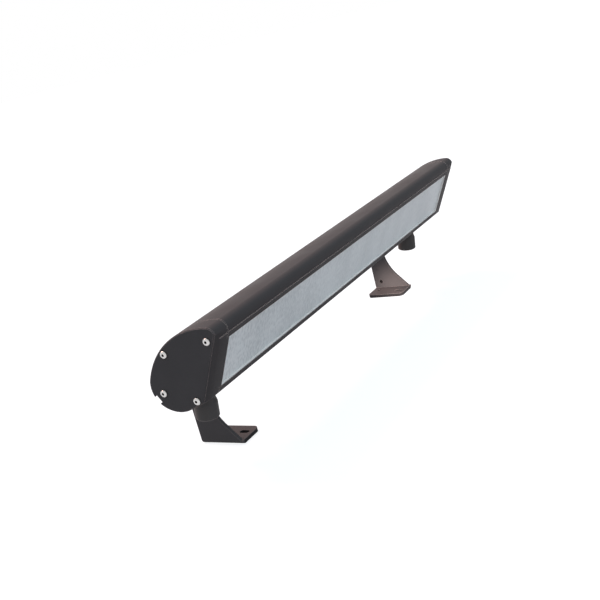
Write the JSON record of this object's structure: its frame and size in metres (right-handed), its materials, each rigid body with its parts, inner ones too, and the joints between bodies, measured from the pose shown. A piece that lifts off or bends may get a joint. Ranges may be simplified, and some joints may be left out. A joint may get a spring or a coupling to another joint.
{
  "type": "wall washer light",
  "caption": "Linear outdoor wall washer light: tilted extruded body with a glass lens, cast end caps, conduit hubs and foot brackets that pivot and slide.",
  "frame": {"origin": "on the mounting surface, midway between the two round fixing holes of the feet", "axes": "+X along the body, the lens faces -Y and a little down, +Z away from the mounting surface"},
  "size_m": [0.611, 0.1209, 0.1624],
  "materials": {
    "bronze_body": "satin",
    "bronze_bracket": "satin",
    "bronze_hub": "satin",
    "stainless_screws": "satin",
    "stainless_pivot": "satin",
    "lens": "gloss",
    "lens_seal": "matte",
    "black_seal": "matte",
    "reflector_sheet": "satin",
    "gear": "satin",
    "ballast_case": "satin",
    "white_plastic": "satin",
    "lamp_glass": "satin",
    "lamp_metal": "satin"
  },
  "bodies": {
    "bracket_left": {"bracket_left": "bronze_bracket", "pivot_bolt_left": "stainless_pivot", "pivot_nut_left": "stainless_pivot", "pivot_washers_left": "stainless_pivot"},
    "saddle_left": {"saddle_left": "bronze_body", "clamp_bolts_left": "stainless_screws", "slot_nuts_left": "stainless_screws"},
    "housing": {"housing_extrusion": "bronze_body", "lens_glass": "lens", "lens_gasket": "lens_seal", "end_cap_left": "bronze_body", "end_cap_right": "bronze_body", "end_gasket_left": "black_seal", "end_gasket_right": "black_seal", "cap_screws_left": "stainless_screws", "cap_screws_right": "stainless_screws", "conduit_hub_left": "bronze_hub", "conduit_hub_right": "bronze_hub", "hub_gasket_left": "black_seal", "hub_gasket_right": "black_seal", "gear_tray": "gear", "ballast": "ballast_case", "ballast_screws": "gear", "terminal_block": "white_plastic", "reflector": "reflector_sheet", "reflector_end_left": "reflector_sheet", "reflector_end_right": "reflector_sheet", "lampholder_left": "white_plastic", "lampholder_right": "white_plastic"},
    "lamp": {"lamp_tube": "lamp_glass", "lamp_base_left": "lamp_metal", "lamp_base_right": "lamp_metal", "lampholder_rotor_left": "white_plastic", "lampholder_rotor_right": "white_plastic"},
    "bracket_right": {"bracket_right": "bronze_bracket", "pivot_bolt_right": "stainless_pivot", "pivot_nut_right": "stainless_pivot", "pivot_washers_right": "stainless_pivot"},
    "saddle_right": {"saddle_right": "bronze_body", "clamp_bolts_right": "stainless_screws", "slot_nuts_right": "stainless_screws"}
  },
  "joints": [
    {"name": "tilt_left", "type": "hinge", "parent": "bracket_left", "child": "saddle_left", "pos_m": [0, -0.0012, 0.0788], "axis": [1, 0, 0], "range_deg": [-90, 45]},
    {"name": "housing_slide", "type": "slide", "parent": "saddle_left", "child": "housing", "axis": [1, 0, 0], "range_m": [-0.008, 0.008]},
    {"name": "lamp_twist", "type": "hinge", "parent": "housing", "child": "lamp", "pos_m": [0, -0.07473, 0.12428], "axis": [1, 0, 0], "range_deg": [0, 90]},
    {"name": "bracket_spacing", "type": "slide", "parent": "bracket_left", "child": "bracket_right", "axis": [1, 0, 0], "range_m": [-0.25, 0.008]},
    {"name": "tilt_right", "type": "hinge", "parent": "bracket_right", "child": "saddle_right", "pos_m": [0, -0.0012, 0.0788], "axis": [1, 0, 0], "range_deg": [-90, 45]}
  ],
  "couplings": [
    {"joint": "tilt_right", "follows": "tilt_left", "ratio": 1}
  ]
}
